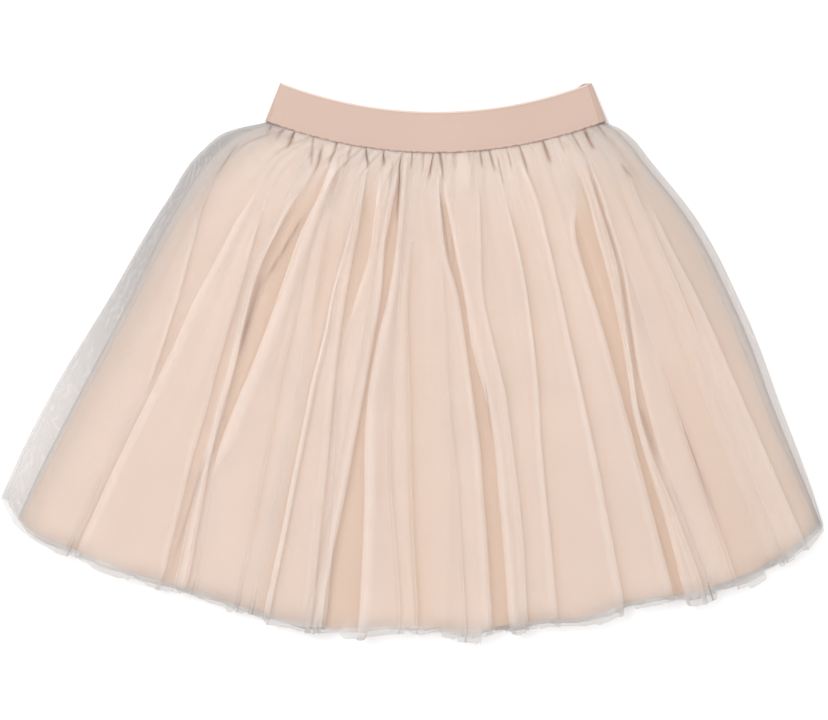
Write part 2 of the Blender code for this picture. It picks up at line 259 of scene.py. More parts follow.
# %% Where the folds lie
FOLD_SHARES = (0.0, 0.1, 0.2, 0.3, 0.4, 0.5, 0.6, 0.7, 0.8, 0.95)
FOLDS = (
    # first line: the edge's angle at each of FOLD_SHARES
    # second line: side, first and last share, overlap in degrees, height in mm at the seam and the hem,
    # bunching of the floor beside it at the seam and the hem
    ((-20.0, -23.2, -23.9, -23.2, -22.6, -22.2, -22.1, -22.4, -22.6, -22.8),
     1, 0.15, 0.64, 0.30, 2.0, 3.5, 0.65, -0.10),
    ((-17.2, -18.8, -20.1, -20.7, -21.2, -21.4, -21.7, -22.0, -22.2, -22.4),
     -1, 0.12, 2.0, 0.40, 2.5, 4.0, 0.60, 0.00),
    ((-15.8, -17.6, -18.0, -17.9, -17.8, -17.7, -17.4, -17.3, -17.1, -16.9),
     1, 0.17, 2.0, 0.30, 3.0, 3.0, 0.30, 0.30),
    ((-15.2, -16.0, -16.6, -17.2, -17.0, -16.7, -16.6, -16.6, -16.5, -16.2),
     -1, 0.42, 2.0, 0.05, 2.0, 2.5, 0.30, 0.20),
    ((-13.6, -14.9, -15.8, -16.55, -16.45, -16.25, -16.3, -16.1, -15.8, -15.4),
     1, 0.10, 2.0, 0.45, 5.0, 3.0, 0.00, 0.35),
    ((-11.9, -12.7, -13.65, -14.2, -14.65, -15.1, -15.55, -15.75, -15.4, -15.0),
     -1, 0.02, 0.74, 1.00, 6.0, 4.0, 0.00, 0.05),
    ((-11.0, -11.6, -12.0, -12.3, -12.4, -12.4, -12.3, -12.2, -12.1, -12.0),
     1, 0.30, 0.90, 0.10, 2.0, 2.0, 0.40, 0.45),
    ((-10.6, -11.0, -11.2, -11.05, -10.95, -10.95, -11.0, -11.0, -11.0, -11.1),
     1, 0.15, 0.42, 0.15, 2.5, 2.5, 0.20, 0.40),
    ((-8.4, -8.7, -9.1, -9.7, -9.8, -10.1, -10.2, -10.3, -10.35, -10.5),
     -1, 0.12, 2.0, 0.20, 2.2, 3.0, 0.35, 0.20),
    ((-8.1, -8.3, -8.7, -9.2, -9.35, -9.7, -9.8, -9.9, -9.95, -10.1),
     1, 0.42, 2.0, 0.05, 2.0, 2.5, 0.40, 0.40),
    ((-7.8, -8.05, -8.14, -8.28, -8.3, -8.2, -8.0, -7.85, -7.75, -7.55),
     1, 0.03, 2.0, 0.40, 4.5, 2.5, 0.05, 0.40),
    ((-6.2, -6.75, -6.5, -7.3, -7.85, -7.8, -7.6, -7.4, -7.3, -7.1),
     -1, 0.05, 0.40, 0.30, 3.5, 3.5, 0.05, 0.30),
    ((-4.5, -4.7, -5.1, -5.05, -5.45, -5.75, -6.05, -6.3, -6.6, -6.95),
     1, 0.02, 2.0, 0.45, 3.5, 4.5, 0.00, 0.10),
    ((-3.9, -3.95, -4.1, -4.4, -5.0, -5.4, -5.3, -5.08, -4.93, -4.73),
     -1, 0.00, 2.0, 0.70, 5.0, 5.0, 0.00, 0.12),
    ((-3.2, -3.3, -3.3, -3.4, -3.4, -3.45, -3.45, -3.15, -2.75, -2.2),
     1, 0.48, 2.0, 0.12, 2.2, 2.4, 0.40, 0.35),
    ((-2.2, -2.4, -2.5, -2.6, -2.4, -2.2, -1.95, -1.7, -1.45, -1.1),
     1, 0.18, 2.0, 0.10, 2.2, 3.6, 0.35, 0.10),
    ((0.0, 0.2, 0.7, 0.9, 0.98, 1.05, 1.35, 1.6, 1.7, 1.85),
     1, 0.22, 2.0, 0.15, 1.8, 2.0, 0.45, 0.42),
    ((0.3, 0.4, 0.9, 2.0, 2.6, 3.05, 3.32, 3.36, 3.4, 3.4),
     1, 0.05, 2.0, 0.45, 3.0, 4.5, 0.00, 0.08),
    ((0.8, 1.05, 1.8, 2.65, 3.15, 3.85, 4.35, 4.38, 4.42, 4.4),
     -1, 0.04, 2.0, 0.50, 3.5, 4.5, 0.00, 0.05),
    ((4.9, 4.8, 4.6, 4.4, 5.0, 5.5, 5.68, 5.8, 5.8, 5.6),
     1, 0.05, 2.0, 0.30, 3.0, 2.8, 0.30, 0.30),
    ((7.2, 7.7, 8.3, 8.54, 8.5, 8.35, 8.0, 7.82, 7.66, 7.43),
     1, 0.10, 2.0, 0.35, 3.5, 3.0, 0.15, 0.35),
    ((9.6, 10.95, 11.37, 11.5, 11.57, 11.67, 11.71, 11.69, 11.6, 11.5),
     1, 0.00, 2.0, 0.45, 4.5, 3.5, 0.32, 0.32),
    ((14.0, 15.3, 14.15, 14.2, 14.43, 14.5, 14.55, 14.55, 14.55, 14.55),
     1, 0.13, 2.0, 0.45, 4.5, 4.0, 0.00, 0.00),
    ((15.8, 16.2, 16.1, 16.05, 15.8, 15.45, 15.05, 15.05, 15.2, 15.16),
     -1, 0.06, 2.0, 0.30, 4.0, 4.0, 0.00, 0.00),
    ((16.4, 17.2, 17.3, 17.1, 16.5, 15.95, 15.5, 15.65, 16.05, 16.4),
     1, 0.05, 2.0, 0.25, 3.5, 3.0, 0.10, 0.25),
    ((16.9, 17.6, 17.65, 17.5, 16.9, 16.35, 16.1, 16.1, 16.4, 16.75),
     -1, 0.05, 0.76, 0.30, 3.5, 3.5, 0.08, 0.05),
    ((17.9, 18.1, 18.1, 18.1, 18.15, 18.2, 18.25, 18.32, 18.4, 18.45),
     1, 0.48, 2.0, 0.10, 2.2, 2.8, 0.30, 0.18),
    ((19.0, 19.8, 19.9, 20.0, 20.2, 20.3, 20.4, 20.45, 20.5, 20.7),
     -1, 0.10, 2.0, 0.10, 1.8, 2.0, 0.40, 0.40),
    ((19.8, 21.2, 21.5, 21.7, 21.8, 21.8, 21.8, 21.8, 21.8, 21.8),
     1, 0.06, 0.52, 0.20, 2.5, 2.5, 0.35, 0.40),
    ((20.2, 21.9, 22.35, 22.65, 23.0, 23.15, 23.15, 23.15, 23.15, 23.15),
     1, 0.18, 2.0, 0.30, 2.6, 2.6, 0.30, 0.35),
)
print("folds stated by hand:", len(FOLDS))

# %% [markdown]
# No edge of a real fold is perfectly even. A few slow waves added up, with random speeds and starts, let each
# edge wander a little and each fold swell and sink on its way down. The random numbers are seeded.

# %% Slow unevenness
EDGE_WANDER = 0.02
HEIGHT_WANDER = 0.10


def slow_noise(rng, places, count, size, waves=5):
    """Smooth uneven curves along places, one per column, of about the stated size."""
    total = np.zeros((len(places), count))
    for _ in range(waves):
        speed = rng.uniform(2, 13, count)
        start = rng.uniform(0, 2 * np.pi, count)
        total += rng.normal(0, 1, count) * np.sin(speed * places[:, None] + start) / math.sqrt(waves)
    return total * size


print("an edge wanders by about degrees:", EDGE_WANDER)

# %% [markdown]
# Each fold is a row of points across it. Going over the crest and down, the cloth rises to its height, drops
# at the crisp edge, runs back under by the overlap and comes out at the bottom. Between two folds it sags in
# a soft curve, or stays a flat floor where two folds lean away from each other and leave a wedge open.

# %% The points that a section is led through
FOLD_STEPS = (
    # along the cloth over the crest to the bottom: degrees or overlaps from the edge, share of the height,
    # and bunching, where None is the floor's own
    ("degrees", -0.18, 1.00, 0.40),
    ("degrees", 0.00, 0.76, 0.28),
    ("degrees", -0.08, 0.45, 0.05),
    ("overlaps", -0.85, 0.16, 0.00),
    ("overlaps", -0.80, 0.05, 0.00),
    ("degrees", 0.16, 0.00, None),
)
GAP_PLACES = (0.25, 0.55, 0.82)
PANEL_BUNCHING = 0.55


def fold_points(shares, left, right, shrink, inset, seed):
    """The points that the cloth is led through in each row: angle, height in metres, and bunching."""
    rng = np.random.default_rng(seed)
    edges = through(FOLD_SHARES, np.array([fold[0] for fold in FOLDS]).T, shares)
    edges = edges + slow_noise(rng, shares, len(FOLDS), EDGE_WANDER)
    uneven = 1 + slow_noise(rng, shares, len(FOLDS), HEIGHT_WANDER)
    angle, height, bunching = [left + 0.0], [0 * left], [PANEL_BUNCHING + 0 * left]

    def across_gap(until, end_height, end_bunching, is_floor):
        """Round down from a crest and up to the next one; a floor stays a floor."""
        start, start_height, start_bunching = angle[-1], height[-1], bunching[-1]
        for place in GAP_PLACES:
            falling = start_height * math.cos(math.pi / 2 * place) ** 0.8
            rising = end_height * math.sin(math.pi / 2 * place) ** 1.2
            angle.append(start + (until - start) * place)
            height.append(np.maximum(falling, rising))
            if is_floor:
                bunching.append((start_bunching + end_bunching) / 2)
            else:
                near_start = (start_bunching - PANEL_BUNCHING) * (1 - place) ** 2.5
                bunching.append(PANEL_BUNCHING + near_start + (end_bunching - PANEL_BUNCHING) * place**2.5)

    side_before = -1
    down = np.clip(shares, 0, 1)
    for k, (_, side, first, last, overlap, *at_ends) in enumerate(FOLDS):
        lift = at_ends[0] + (at_ends[1] - at_ends[0]) * down
        floor_bunching = at_ends[2] + (at_ends[3] - at_ends[2]) * down
        opening = eased((shares - first) / 0.10 + 0.10) * eased((last - shares) / 0.10)
        edge = edges[:, k] - side * inset
        steps = FOLD_STEPS if side > 0 else FOLD_STEPS[::-1]
        units = {"degrees": 1, "overlaps": overlap * opening}
        spots = [edge + side * away * units[unit] for unit, away, _, _ in steps]
        top = opening * uneven[:, k] * lift * shrink * 0.001
        heights = [level * top for _, _, level, _ in steps]
        bunches = [floor_bunching if bunch is None else bunch for *_, bunch in steps]
        bunches = [PANEL_BUNCHING + (bunch - PANEL_BUNCHING) * opening for bunch in bunches]
        spots[0] = np.maximum(spots[0], angle[-1] + 0.02)
        across_gap(spots[0], heights[0], bunches[0], side_before > 0 > side)
        angle += spots
        height += heights
        bunching += bunches
        side_before = side
    across_gap(right, 0 * right, PANEL_BUNCHING + 0 * right, False)
    angle.append(right + 0.0)
    height.append(0 * right)
    bunching.append(PANEL_BUNCHING + 0 * right)
    return np.stack(angle, 1), np.stack(height, 1), np.stack(bunching, 1)


print("points in one section:", len(FOLDS) * (len(FOLD_STEPS) + len(GAP_PLACES)) + len(GAP_PLACES) + 2)

# %% [markdown]
# Straight lines between those points would look like folded paper. So a cubic curve runs through them, with
# its pull at each point limited by the shorter neighbour, which keeps it from swinging past. Every row gets
# the same number of columns for a stretch, so that the rows join up into a grid.

# %% A smooth section through the points
COLUMN_PITCH = 1.25


def led_through(angle, height, bunching, radius):
    """A smooth section through each row's points, with no overshoot and about evenly spaced columns."""
    along = np.stack([np.radians(angle) * radius[:, None], height], -1)
    steps = np.diff(along, axis=1)
    lengths = np.linalg.norm(steps, axis=2)
    heading = np.zeros_like(along)
    heading[:, 1:-1] = along[:, 2:] - along[:, :-2]
    heading[:, 0], heading[:, -1] = steps[:, 0], steps[:, -1]
    heading /= np.linalg.norm(heading, axis=2, keepdims=True) + 1e-9
    before = np.pad(lengths, ((0, 0), (1, 0)), "edge")
    after = np.pad(lengths, ((0, 0), (0, 1)), "edge")
    heading *= np.minimum(before, after)[..., None]
    usual = lengths[len(lengths) // 3 :].mean(axis=0)
    counts = np.maximum(np.ceil(usual * 1000 / COLUMN_PITCH), 2).astype(int)
    section, bunched = [], []
    for k, count in enumerate(counts):
        t = (np.arange(count) / count)[None, :, None]
        here, there = slice(k, k + 1), slice(k + 1, k + 2)
        section.append(cubic(t, along[:, here], heading[:, here], along[:, there], heading[:, there]))
        bunched.append(bunching[:, here] * (1 - t[..., 0]) + bunching[:, there] * t[..., 0])
    section = np.concatenate([*section, along[:, -1:]], axis=1)
    bunched = np.concatenate([*bunched, bunching[:, -1:]], axis=1)
    return np.degrees(section[..., 0] / radius[:, None]), section[..., 1], bunched


print("columns are about this far apart in mm:", COLUMN_PITCH)

# %% [markdown]
# Where a wide cloth is sewn to a narrow band, it is drawn up into many small gathers that die out further
# down. They could be copies of one shape, but real gathers never match. So a seeded random generator gives
# each one its own place, length, width and lean, and the same ones come out every time.

# %% Small gathers
def small_gathers(shares, count, lean, height, seed, sides, span=(0.05, 0.3), width=(0.16, 0.34)):
    """Small folds that start at the seam and die out, unevenly apart: root, push, half width and height."""
    left, right = sides
    rng = np.random.default_rng(seed)
    across = (np.arange(count) + rng.uniform(-0.42, 0.42, count) + 0.5) / count
    across = across + rng.normal(0, 0.006, count) * shares[:, None]
    roots = left[:, None] + (right - left)[:, None] * across
    ends = rng.uniform(*span, count)
    fading = eased((ends - shares[:, None]) / (0.6 * ends)) * eased((shares[:, None] + 0.03) / 0.035)
    towards = np.where(rng.random(count) < 0.5, -1.0, 1.0)
    pushes = towards * lean * rng.uniform(0.4, 1.3, count) * fading
    widths = rng.uniform(*width, count) * (0.9 + 0.9 * np.clip(shares, 0, 1)[:, None])
    heights = height * 0.001 * rng.uniform(0.35, 1.2, count) * fading
    return roots, pushes, widths, heights


def lay_gathers(angles, *tables):
    """Pushes a section sideways and up by small folds: the new angles, the added heights, the bunching."""
    moved, raised, bunched = angles.copy(), np.zeros_like(angles), np.zeros_like(angles)
    for roots, pushes, widths, heights in tables:
        for k in range(roots.shape[1]):
            one = slice(k, k + 1)
            away = (angles - roots[:, one]) / widths[:, one]
            ridge = np.exp(-(away**2))
            moved += pushes[:, one] * ridge
            raised += heights[:, one] * ridge
            behind = -away * np.sign(pushes[:, one])
            bunched += behind * np.exp(-(behind**2) / 3) * heights[:, one] / 0.003
    return moved, raised, bunched


three_gathers = small_gathers(np.zeros(1), 3, 0.25, 2.4, 7, (np.full(1, -20.0), np.full(1, 20.0)))
print("roots of three gathers at the seam in degrees:", np.round(three_gathers[0][0], 1))

# %% [markdown]
# Between the gathers the net is pinched into short creases, most of them right under the band and a few
# further down where a fold begins. In a crease several layers lie deep in shade, and that shade is painted
# into the net's colour as a darker brown. They are listed one by one, because their uneven places and
# lengths are what makes the waist of a tulle skirt look right.

# %% Short creases, with painted shade
NEXT_TO_SEAM = 0.005
SLITS = (
    # start angle and share, end angle and share, half width in degrees, depth, which also sets the painted
    # shade
    (-20.3, 0.0, -20.5, 0.03, 0.20, 0.5),
    (-18.9, 0.0, -19.2, 0.035, 0.25, 0.7),
    (-17.3, 0.0, -17.7, 0.04, 0.25, 1.0),
    (-15.1, 0.0, -14.3, 0.07, 0.14, 0.6),
    (-13.7, 0.02, -13.9, 0.075, 0.22, 1.0),
    (-12.1, 0.0, -12.6, 0.055, 0.20, 0.8),
    (-10.4, 0.0, -10.6, 0.06, 0.20, 0.4),
    (-8.5, 0.0, -8.0, 0.045, 0.20, 0.8),
    (-6.3, 0.0, -6.1, 0.035, 0.24, 1.0),
    (-5.2, 0.02, -5.2, 0.08, 0.14, 0.5),
    (-4.3, 0.01, -4.1, 0.17, 0.15, 1.0),
    (-2.9, 0.0, -2.9, 0.04, 0.16, 0.6),
    (-1.5, 0.0, -1.6, 0.05, 0.16, 0.4),
    (-0.2, 0.0, -0.8, 0.06, 0.20, 1.0),
    (0.5, 0.0, 0.8, 0.06, 0.22, 0.9),
    (2.2, 0.0, 2.3, 0.04, 0.16, 0.5),
    (3.9, 0.0, 3.8, 0.03, 0.14, 0.5),
    (5.3, 0.0, 5.4, 0.04, 0.22, 0.9),
    (6.5, 0.0, 6.9, 0.05, 0.18, 0.8),
    (7.4, 0.02, 7.8, 0.09, 0.14, 0.5),
    (8.7, 0.0, 8.8, 0.05, 0.16, 0.5),
    (10.3, 0.0, 10.7, 0.06, 0.20, 0.9),
    (13.1, 0.0, 13.4, 0.055, 0.30, 1.0),
    (15.0, 0.0, 15.2, 0.04, 0.16, 0.4),
    (16.8, 0.0, 17.2, 0.05, 0.16, 0.5),
    (18.4, 0.0, 18.7, 0.05, 0.35, 1.0),
    (20.1, 0.0, 20.5, 0.04, 0.20, 0.5),
    (-13.9, 0.16, -16.3, 0.35, 0.22, 0.9),
    (-16.35, 0.30, -16.2, 0.50, 0.20, 0.9),
    (-16.5, 0.70, -16.6, 0.98, 0.14, 0.5),
    (0.5, 0.09, 1.6, 0.27, 0.16, 0.6),
    (4.0, 0.48, 4.3, 0.62, 0.10, 0.6),
    (17.4, 0.10, 17.3, 0.34, 0.14, 0.6),
    (17.3, 0.30, 15.8, 0.58, 0.10, 0.6),
    (15.7, 0.58, 15.8, 0.72, 0.26, 0.5),
    (18.3, 0.62, 18.4, 0.88, 0.07, 0.8),
    (20.9, 0.10, 21.4, 0.13, 0.25, 0.6),
    (-24.0, 0.16, -23.2, 0.06, 0.10, 0.4),
)


def creases(angles, shares):
    """The short creases: how the net is drawn towards them, and how deep in one each point lies, 0 to 1,
    which also sets the painted crease shade.
    """
    drawn, crease_depth_and_painted_shade = np.zeros_like(angles), np.zeros_like(angles)
    down = shares[:, None]
    for start, high, end, low, width, depth in SLITS:
        if low < high:
            high, low, start, end = low, high, end, start
        along = (down - high) / (low - high)
        middle = start + (end - start) * np.clip(along, 0, 1)
        beginning = eased((along + 0.1) / 0.3) if high > NEXT_TO_SEAM else down > -0.012
        fading = depth * eased((1.08 - along) / 0.5) * beginning
        away = (angles - middle) / width
        drawn -= 0.45 * width * np.tanh(2 * away) * np.exp(-((away / 2.5) ** 2)) * fading
        crease_depth_and_painted_shade = np.maximum(crease_depth_and_painted_shade, np.exp(-(away**2) * 1.6) * fading)
    return drawn, crease_depth_and_painted_shade


print("short creases stated by hand:", len(SLITS))

# %% [markdown]
# The side outlines are short tables of angles. The outer net is the widest, so a strip of two bare layers
# shows past the inner net and the lining. Each front comes down to meet its back at the side, as a tube
# that is pressed flat does, so its height falls away over the last centimetre or two.

# %% Outlines of the three tubes
TUCKED_IN = -0.03
HEM_ROWS = (0.009, 0.006, 0.0035, 0.0015, 0.0)
OUTLINE_SHARES = (TUCKED_IN, 0.0, 0.025, 0.05, 0.11, 0.24, 0.475, 0.71, 0.93, 1.0)
OUTLINES = {
    # tube: left angles, right angles
    "outer": (
        (-20.6, -21.1, -23.2, -24.9, -26.6, -27.5, -28.0, -28.45, -28.25, -28.1),
        (20.6, 21.1, 22.5, 23.3, 24.2, 25.8, 26.2, 25.5, 24.95, 24.7),
    ),
    "inner": (
        (-20.4, -20.9, -22.4, -23.7, -25.3, -26.35, -26.5, -26.7, -26.7, -26.6),
        (20.4, 20.9, 22.0, 22.6, 23.5, 25.1, 25.6, 25.0, 24.7, 24.6),
    ),
    "lining": (
        (-19.8, -20.4, -21.6, -22.7, -24.0, -25.5, -26.0, -26.3, -26.4, -26.4),
        (19.8, 20.4, 21.4, 22.1, 23.0, 24.6, 24.9, 24.5, 24.45, 24.4),
    ),
}


def tube_sides(tube, shares):
    left, right = OUTLINES[tube]
    return through(OUTLINE_SHARES, left, shares), through(OUTLINE_SHARES, right, shares)


def rows_down(count, hem):
    """Shares of the length from inside the band to the hem, close together at the gathers and the hem."""
    down = TUCKED_IN + (hem - 0.012 - TUCKED_IN) * np.linspace(0, 1, count - len(HEM_ROWS)) ** 1.35
    return np.concatenate([down, hem - np.array(HEM_ROWS)])


def from_side(angles, left, right, radius):
    """How far in from the nearer side, in metres."""
    return np.radians(np.minimum(angles - left[:, None], right[:, None] - angles)) * radius


def side_fall(angles, left, right, radius, reach):
    """0 at a side and 1 further in than reach, as the quarter of a circle."""
    share = np.clip(from_side(angles, left, right, radius) / reach, 0, 1)
    return np.sqrt(1 - (1 - share) ** 2)


print("outer tube at mid length in mm:", round(1000 * 0.52 * math.radians(27.9 + 26.05)))

# %% [markdown]
# A finish is a tree of nodes: each takes values in and gives one out. It could be joined up by hand in the
# editor, but written out it can be read and changed. Each helper here adds one node and joins it, so that
# the finishes below read like sums.

# %% Short names for shader nodes
def wire(tree, source, target):
    tree.links.new(source, target)


def feed(tree, node, *parts):
    """Gives a node its inputs in order: a socket is wired, anything else is a plain value."""
    for socket, part in zip(node.inputs, parts):
        if isinstance(part, bpy.types.NodeSocket):
            wire(tree, part, socket)
        else:
            socket.default_value = part


def new_finish(name, roughness):
    """A finish with its tree and the shader that Blender puts in it."""
    made = bpy.data.materials.new(name)
    made.use_nodes = True
    shader = made.node_tree.nodes["Principled BSDF"]
    shader.inputs["Roughness"].default_value = roughness
    return made, made.node_tree, shader


def vector_math(tree, operation, first, second=None):
    node = tree.nodes.new("ShaderNodeVectorMath")
    node.operation = operation
    feed(tree, node, first, *(() if second is None else (second,)))
    return node.outputs["Value"] if operation in ("DOT_PRODUCT", "LENGTH") else node.outputs["Vector"]


def math_node(tree, operation, first, second=0.0):
    node = tree.nodes.new("ShaderNodeMath")
    node.operation = operation
    feed(tree, node, first, second)
    return node.outputs["Value"]


def ranged(tree, value, low, high, to_low, to_high):
    """value taken from one range to another, held at both ends."""
    node = tree.nodes.new("ShaderNodeMapRange")
    feed(tree, node, value, low, high, to_low, to_high)
    return node.outputs["Result"]


def attribute(tree, name):
    node = tree.nodes.new("ShaderNodeAttribute")
    node.attribute_name = name
    return node.outputs["Fac"]


def soft_noise(tree, source, scale, detail):
    """Random soft patches over the cloth map, with scale patches to the metre."""
    noise = tree.nodes.new("ShaderNodeTexNoise")
    noise.inputs["Scale"].default_value = scale
    noise.inputs["Detail"].default_value = detail
    wire(tree, source, noise.inputs["Vector"])
    return noise


def mixed_shaders(tree, share, first, second):
    both = tree.nodes.new("ShaderNodeMixShader")
    feed(tree, both, share, first, second)
    return both.outputs[0]


def mixed(tree, first, second, share):
    """The first colour taken towards the second by the share."""
    blend = tree.nodes.new("ShaderNodeMix")
    blend.data_type = "RGBA"
    wire(tree, first, blend.inputs[6])
    blend.inputs[7].default_value = (*second, 1)
    wire(tree, share, blend.inputs[0])
    return blend.outputs[2]


print("a finish is a tree of nodes that these functions join")

# %% [markdown]
# Soft net is a hexagonal mesh with holes of about a millimetre. It could be a picture on a plain sheet, but
# a net drawn by mathematics stays sharp at any distance. Hexagons are two grids of rectangles, one shifted
# by half a step each way. Every point asks both how far it is from a middle, measured in three directions,
# and the smaller answer is its own hexagon. What is left to half a step is the distance to the thread.

# %% A net of hexagons
FAR_CORNER = (900.0, 900.0 * math.sqrt(3), 0.0)


def hexagon_edge(tree, spot):
    """How far spot is from the nearest edge of hexagons one unit apart: 0 on it, 0.5 at a middle."""
    repeat, half = (1.0, math.sqrt(3), 1.0), (0.5, math.sqrt(3) / 2, 0.5)
    near = []
    for shift in ((0.0, 0.0, 0.0), half):
        moved = vector_math(tree, "ADD", vector_math(tree, "SUBTRACT", spot, shift), FAR_CORNER)
        tile = vector_math(tree, "SUBTRACT", vector_math(tree, "MODULO", moved, repeat), half)
        tile = vector_math(tree, "MULTIPLY", tile, (1.0, 1.0, 0.0))
        tile = vector_math(tree, "ABSOLUTE", tile)
        slanted = vector_math(tree, "DOT_PRODUCT", tile, (0.5, math.sqrt(3) / 2, 0.0))
        upright = vector_math(tree, "DOT_PRODUCT", tile, (1.0, 0.0, 0.0))
        near.append(math_node(tree, "MAXIMUM", slanted, upright))
    return math_node(tree, "SUBTRACT", 0.5, math_node(tree, "MINIMUM", near[0], near[1]))


def colour_drift(tree, colour, spread, size, source):
    """The colour made a little lighter and darker in soft patches."""
    noise = soft_noise(tree, source, size, 3.0)
    blend = tree.nodes.new("ShaderNodeMix")
    blend.data_type = "RGBA"
    blend.inputs[6].default_value = (*(c * (1 - spread) for c in colour), 1)
    blend.inputs[7].default_value = (*(min(c * (1 + spread), 0.98) for c in colour), 1)
    wire(tree, ranged(tree, noise.outputs["Fac"], 0.3, 0.7, 0.0, 1.0), blend.inputs[0])
    return blend.outputs[2]


print("the net repeats every step across and every", round(math.sqrt(3), 2), "steps down")

# %% [markdown]
# The net's finish puts thread on the hexagons' edges and nothing in the holes. The thread lets some light
# through, as thin nylon does, and it is wider where small gathers that are not modelled bunch it. A sheet
# can carry four values that change it from place to place: how much the net is gathered, how much painted
# grey shade it takes where it hangs bare, how much painted brown shade it takes deep in a crease, and how
# much painted dark shade it takes where it is cut or seen edge on.

# %% Tulle
# painted grey shade for net that hangs bare
PAINTED_BARE_SHADE_COLOUR = (0.50, 0.475, 0.465)
# painted brown shade deep in creases
PAINTED_CREASE_SHADE_COLOUR = (0.42, 0.28, 0.23)
# painted dark shade at cut and edge-on threads
PAINTED_EDGE_SHADE_COLOUR = (0.36, 0.345, 0.345)
PATTERN_WANDER = (1.6, 1.6, 0.0)


def tulle_net(name, colour, pitch, turn, loose, bunched, through_light):
    """A net of hexagonal holes. Its threads are as wide as loose to bunched and let some light through."""
    made, tree, shader = new_finish(name, 0.6)
    shader.inputs["Specular IOR Level"].default_value = 0.3
    uv = tree.nodes.new("ShaderNodeUVMap").outputs["UV"]
    drift = soft_noise(tree, uv, 90.0, 1.0)
    shift = vector_math(tree, "MULTIPLY", drift.outputs["Color"], PATTERN_WANDER)
    turned = tree.nodes.new("ShaderNodeVectorRotate")
    turned.rotation_type = "Z_AXIS"
    turned.inputs["Angle"].default_value = math.radians(turn)
    wire(tree, vector_math(tree, "MULTIPLY", uv, (1 / pitch, 1 / pitch, 0.0)), turned.inputs["Vector"])
    edge = hexagon_edge(tree, vector_math(tree, "ADD", turned.outputs["Vector"], shift))
    thread = ranged(tree, attribute(tree, "gathering"), 0.0, 1.0, loose, bunched)
    thinner = math_node(tree, "MULTIPLY", thread, 0.4)
    wider = math_node(tree, "MULTIPLY", thread, 1.6)
    cover = ranged(tree, edge, thinner, wider, 1.0, 0.0)
    # painted grey shade where the net hangs bare
    tint = mixed(tree, colour_drift(tree, colour, 0.02, 30.0, uv), PAINTED_BARE_SHADE_COLOUR, attribute(tree, "painted_bare_shade"))
    # painted brown shade deep in creases
    tint = mixed(tree, tint, PAINTED_CREASE_SHADE_COLOUR, attribute(tree, "crease_depth_and_painted_shade"))
    # painted dark shade where the net is cut or seen edge on
    tint = mixed(tree, tint, PAINTED_EDGE_SHADE_COLOUR, attribute(tree, "edge"))
    wire(tree, tint, shader.inputs["Base Color"])
    glow = tree.nodes.new("ShaderNodeBsdfTranslucent")
    wire(tree, tint, glow.inputs["Color"])
    nylon = mixed_shaders(tree, through_light, shader.outputs[0], glow.outputs[0])
    holes = tree.nodes.new("ShaderNodeBsdfTransparent")
    net = mixed_shaders(tree, cover, holes.outputs[0], nylon)
    wire(tree, net, tree.nodes["Material Output"].inputs["Surface"])
    return made


OUTER_NET = tulle_net("outer_tulle", (0.95, 0.885, 0.845), 0.00115, 8.0, 0.04, 0.16, 0.35)
INNER_NET = tulle_net("inner_tulle", (0.95, 0.875, 0.825), 0.00105, 37.0, 0.04, 0.16, 0.35)
print("nets made:", OUTER_NET.name, INNER_NET.name)

# %% [markdown]
# The lining and the elastic are woven so finely that only a faint grain shows. Two waves across each other
# give that grain as a bump, with no extra geometry, and soft patches keep the colour from looking flat.

# %% Woven cloth
def woven(name, colour, pitch, depth, roughness, sheen):
    """A fine plain weave from two crossed waves, with soft patches of lighter and darker colour."""
    made, tree, shader = new_finish(name, roughness)
    shader.inputs["Sheen Weight"].default_value = sheen
    shader.inputs["Specular IOR Level"].default_value = 0.35
    uv = tree.nodes.new("ShaderNodeUVMap").outputs["UV"]
    waves = []
    for direction in ("X", "Y"):
        wave = tree.nodes.new("ShaderNodeTexWave")
        wave.bands_direction = direction
        wave.inputs["Scale"].default_value = 1 / pitch * 0.314
        wave.inputs["Distortion"].default_value = 0.3
        wire(tree, uv, wave.inputs["Vector"])
        waves.append(wave.outputs["Fac"])
    weave = math_node(tree, "MULTIPLY", waves[0], waves[1])
    bump = tree.nodes.new("ShaderNodeBump")
    bump.inputs["Strength"].default_value = 0.4
    bump.inputs["Distance"].default_value = depth
    wire(tree, weave, bump.inputs["Height"])
    wire(tree, bump.outputs["Normal"], shader.inputs["Normal"])
    wire(tree, colour_drift(tree, colour, 0.03, 12.0, uv), shader.inputs["Base Color"])
    return made


LINING_CLOTH = woven("lining_cloth", (0.59, 0.416, 0.298), 0.0005, 0.00012, 0.55, 0.15)
print("lining made:", LINING_CLOTH.name)

# %% [markdown]
# The elastic is one colour, but its edges aren't: the top edge is a paler firm cord, the bottom edge shows
# stitches and a broken painted shade where the net is sewn on, and near one end a lap is stitched across,
# with painted shade over it. These are drawn by two values that the band's sheet carries, how far across
# and how far down a point lies, and the back of the loop takes painted shade by a third.

# %% The elastic's finish
LAP_ANGLE = 20.75
LAP_SLANT = -0.35
SELVEDGE_COLOUR = (0.68, 0.54, 0.47)
# stitches, and painted shade under the gathers at the seam
STITCH_AND_PAINTED_SEAM_SHADE_COLOUR = (0.38, 0.245, 0.205)
# painted shade over the lap and on the back of the loop
PAINTED_BAND_SHADE_COLOUR = (0.46, 0.325, 0.27)
WHOLE_ACROSS = 60.0


